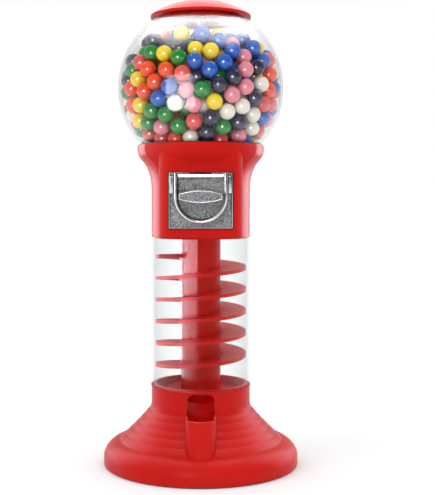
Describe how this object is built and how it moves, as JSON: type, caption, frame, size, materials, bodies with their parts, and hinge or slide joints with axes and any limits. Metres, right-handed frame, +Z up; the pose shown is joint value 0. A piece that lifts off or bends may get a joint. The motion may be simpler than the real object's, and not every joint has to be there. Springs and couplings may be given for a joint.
{
  "type": "gumball machine",
  "caption": "Coin-operated gumball machine: ringed base with delivery cup, clear tube round a spiral ramp, coin housing, clear globe of gumballs and domed lid.",
  "frame": {"origin": "on the floor under the middle of the base", "axes": "+Z up, coin plate and delivery cup towards -Y, +X to the right seen from the front"},
  "size_m": [0.3, 0.3, 0.72],
  "materials": {
    "red_plastic": "glossy moulded red",
    "clear_plastic": "clear moulded",
    "zinc_casting": "hammered casting",
    "steel": "plated",
    "black_rubber": "matte",
    "inner_plastic": "natural moulded",
    "brass": "turned",
    "candy_green": "hard sugar shell",
    "candy_orange": "hard sugar shell",
    "candy_coral": "hard sugar shell",
    "candy_pink": "hard sugar shell",
    "candy_yellow": "hard sugar shell",
    "candy_white": "hard sugar shell",
    "candy_blue": "hard sugar shell",
    "candy_navy": "hard sugar shell"
  },
  "bodies": {
    "machine": {"base_shell": "red_plastic", "catch_tray": "red_plastic", "column_foot": "red_plastic", "column_head": "red_plastic", "housing": "red_plastic", "spiral_section_1": "red_plastic", "spiral_section_2": "red_plastic", "spiral_section_3": "red_plastic", "spiral_section_4": "red_plastic", "spiral_section_5": "red_plastic", "clear_tube": "clear_plastic", "globe": "clear_plastic", "coin_plate": "zinc_casting", "bottom_plate": "steel", "bottom_screws": "steel", "rod_nut": "steel", "centre_rod": "steel", "wheel_plate_screws": "steel", "wheel_nut": "steel", "mech_nuts": "steel", "pawl_pin": "steel", "pawl_spring": "steel", "coin_drum": "steel", "coin_chute": "steel", "ball_guard": "steel", "rubber_feet": "black_rubber", "globe_gasket": "black_rubber", "housing_deck": "red_plastic", "wheel_plate": "inner_plastic", "hopper": "inner_plastic", "rod_keeper": "brass", "gumballs_green": "candy_green", "gumballs_orange": "candy_orange", "gumballs_coral": "candy_coral", "gumballs_pink": "candy_pink", "gumballs_yellow": "candy_yellow", "gumballs_white": "candy_white", "gumballs_blue": "candy_blue", "gumballs_navy": "candy_navy"},
    "lid": {"lid": "red_plastic", "lock_barrel": "steel"},
    "lock": {"lock_plug": "brass"},
    "handle": {"coin_handle": "zinc_casting", "handle_shaft": "steel", "coin_carrier": "steel", "ratchet_wheel": "steel", "drive_pinion": "inner_plastic", "shaft_clip": "steel"},
    "wheel": {"vend_wheel": "inner_plastic", "wheel_gumballs": "candy_white"},
    "pawl": {"pawl": "steel"}
  },
  "joints": [
    {"name": "lid_lift", "type": "slide", "parent": "machine", "child": "lid", "axis": [0, 0, 1], "range_m": [0, 0.06]},
    {"name": "lock_turn", "type": "hinge", "parent": "lid", "child": "lock", "pos_m": [0, 0, 0.71], "axis": [0, 0, 1], "range_deg": [0, 90]},
    {"name": "handle_turn", "type": "hinge", "parent": "machine", "child": "handle", "pos_m": [0, -0.09, 0.4125], "axis": [0, 1, 0], "continuous": true},
    {"name": "wheel_turn", "type": "hinge", "parent": "machine", "child": "wheel", "pos_m": [0, 0, 0.44], "axis": [0, 0, 1], "continuous": true},
    {"name": "pawl_swing", "type": "hinge", "parent": "machine", "child": "pawl", "pos_m": [-0.01736, -0.0774, 0.43318], "axis": [0, 1, 0], "range_deg": [0, 13], "stiffness_Nm_per_rad": 0.02, "springref_deg": 20.05, "deforming": ["pawl_spring"]}
  ],
  "couplings": [
    {"joint": "wheel_turn", "follows": "handle_turn", "ratio": 0.16667}
  ]
}
